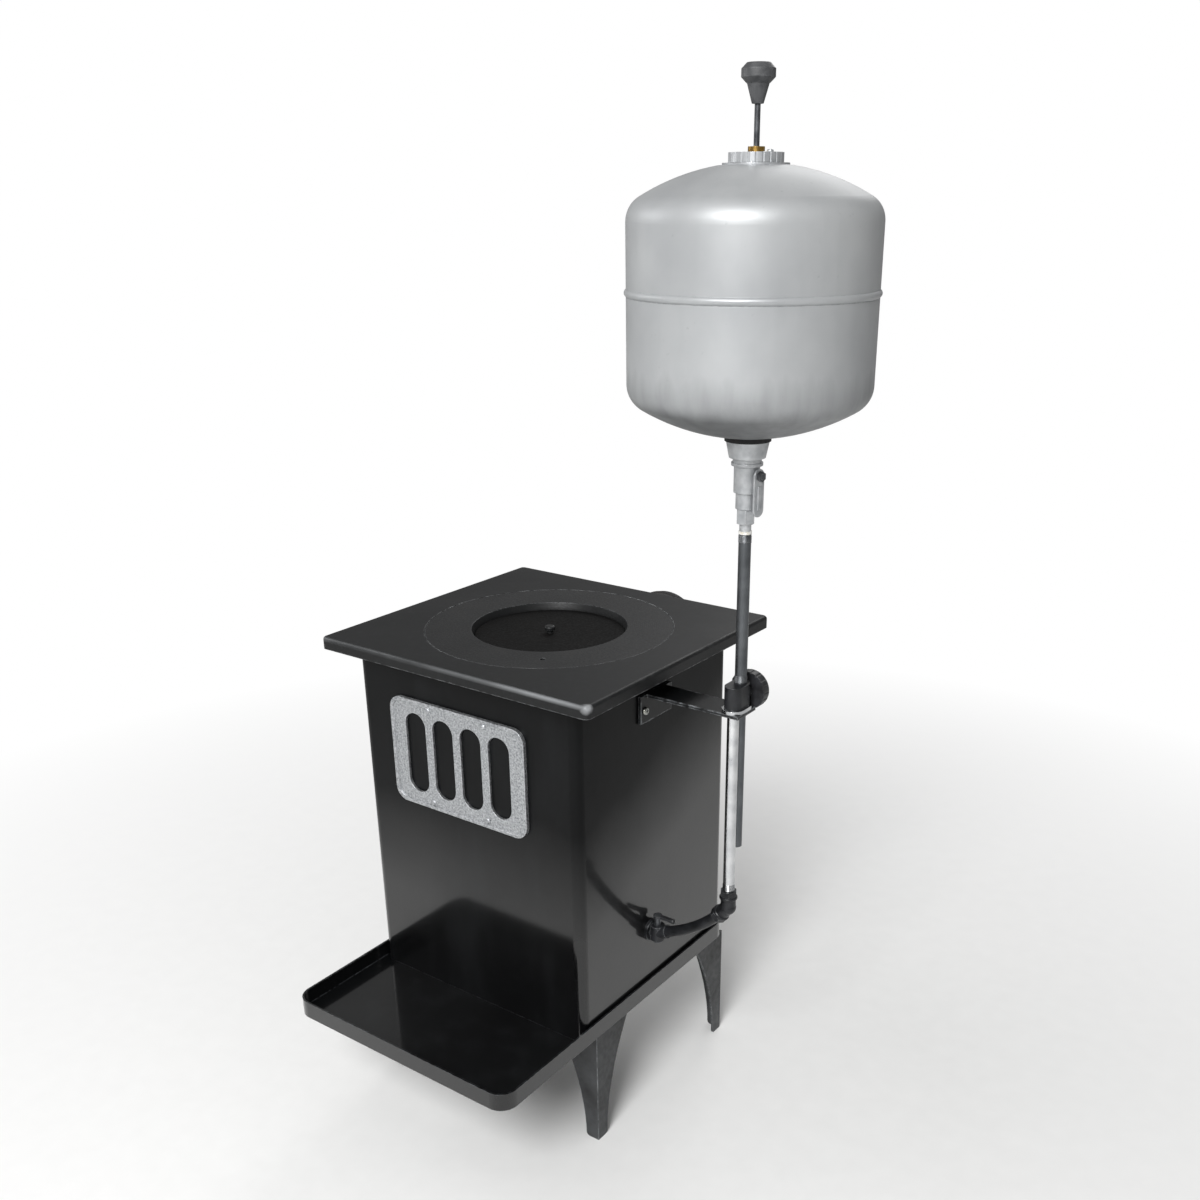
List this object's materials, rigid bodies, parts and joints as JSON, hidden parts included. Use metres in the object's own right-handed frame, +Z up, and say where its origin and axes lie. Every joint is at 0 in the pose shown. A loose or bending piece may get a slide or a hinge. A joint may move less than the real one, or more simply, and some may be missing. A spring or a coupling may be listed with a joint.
{
  "type": "diesel stove",
  "caption": "free-standing pot-burner heating stove on pressed legs with a hob ring and lid, hearth tray, rear flue collar and an upright round fuel tank fed through a side riser",
  "frame": {"origin": "middle of the bounding box at floor level", "axes": "+Z up, the front with the plaque faces -Y, the fuel tank stands at +X"},
  "size_m": [0.6026, 0.571, 1.2066],
  "materials": {
    "stove_black": "gloss black stove enamel",
    "cast_iron_black": "matt blackened cast iron",
    "burner_steel": "heat-stained steel",
    "flue_steel": "matt heat-proof black",
    "zinc_steel": "zinc plated",
    "cast_aluminium": "cast and brushed",
    "bright_steel": "bright nickel plate",
    "dull_steel": "plain drawn steel",
    "black_fittings": "black phosphate",
    "brass": "machined brass",
    "black_plastic": "moulded black",
    "gasket_rubber": "fuel-proof rubber",
    "tank_paint": "silver hammer paint"
  },
  "bodies": {
    "stove": {"top_plate": "stove_black", "body_shell": "stove_black", "back_panel": "stove_black", "back_panel_screws": "zinc_steel", "plate_screws": "zinc_steel", "hearth_tray": "stove_black", "leg_front_right": "stove_black", "leg_front_left": "stove_black", "leg_back_right": "stove_black", "leg_back_left": "stove_black", "leg_bolts": "zinc_steel", "leg_nuts": "zinc_steel", "flue_collar": "flue_steel", "flue_rivets": "zinc_steel", "flue_baffle": "burner_steel", "front_plaque": "cast_aluminium", "plaque_rivets": "zinc_steel", "burner_stand": "burner_steel", "burner_pot": "burner_steel", "pot_inlet_pipe": "brass", "inlet_fitting": "black_fittings", "inlet_wall_nut": "brass", "feed_pipe": "black_fittings", "feed_elbow": "black_fittings", "pipe_nuts": "black_fittings", "riser_pipe": "bright_steel", "bracket_arm": "stove_black", "bracket_screws": "zinc_steel", "regulator_flange": "bright_steel", "regulator_body": "black_fittings", "sediment_leg": "dull_steel", "tank_pipe": "dull_steel", "union_seal": "bright_steel", "valve_nozzle": "dull_steel", "valve_nut": "dull_steel", "valve_body": "dull_steel", "outlet_socket": "bright_steel", "outlet_gasket": "gasket_rubber", "outlet_nut": "bright_steel", "tank_lower": "tank_paint", "tank_upper": "tank_paint", "filler_neck": "bright_steel"},
    "hob_ring": {"hob_ring": "cast_iron_black"},
    "hob_lid": {"hob_lid": "cast_iron_black", "lid_knob": "cast_iron_black"},
    "burner_insert": {"flame_sleeve": "burner_steel", "flame_cap": "burner_steel"},
    "valve_lever": {"valve_ball": "bright_steel", "valve_stem": "bright_steel", "valve_lever": "bright_steel", "lever_nut": "bright_steel"},
    "inlet_cock": {"inlet_cock_plug": "bright_steel", "inlet_cock_lever": "black_plastic"},
    "regulator": {"regulator_needle": "bright_steel", "regulator_knob": "black_plastic"},
    "filler_cap": {"filler_cap": "bright_steel", "gauge_gland": "brass"},
    "gauge": {"gauge_rod": "bright_steel", "gauge_knob": "black_plastic", "gauge_float": "brass"}
  },
  "joints": [
    {"name": "hob_ring_lift", "type": "slide", "parent": "stove", "child": "hob_ring", "axis": [0, 0, 1], "range_m": [0, 0.12]},
    {"name": "hob_lid_lift", "type": "slide", "parent": "hob_ring", "child": "hob_lid", "axis": [0, 0, 1], "range_m": [0, 0.12]},
    {"name": "burner_insert_lift", "type": "slide", "parent": "stove", "child": "burner_insert", "axis": [0, 0, 1], "range_m": [0, 0.12]},
    {"name": "valve_lever_turn", "type": "hinge", "parent": "stove", "child": "valve_lever", "pos_m": [0.17575, 0.0175, 0.82976], "axis": [0.9781, -0.2079, 0], "range_deg": [0, 90]},
    {"name": "inlet_cock_turn", "type": "hinge", "parent": "stove", "child": "inlet_cock", "pos_m": [0.07525, 0.0035, 0.251], "axis": [0, 0, -1], "range_deg": [0, 90]},
    {"name": "regulator_turn", "type": "hinge", "parent": "stove", "child": "regulator", "pos_m": [0.17575, 0.0175, 0.5857], "axis": [0, 1, 0], "range_deg": [0, 540]},
    {"name": "filler_cap_lift", "type": "slide", "parent": "stove", "child": "filler_cap", "axis": [0, 0, 1], "range_m": [0, 0.05]},
    {"name": "gauge_rise", "type": "slide", "parent": "filler_cap", "child": "gauge", "axis": [0, 0, 1], "range_m": [0, 0.17]}
  ]
}
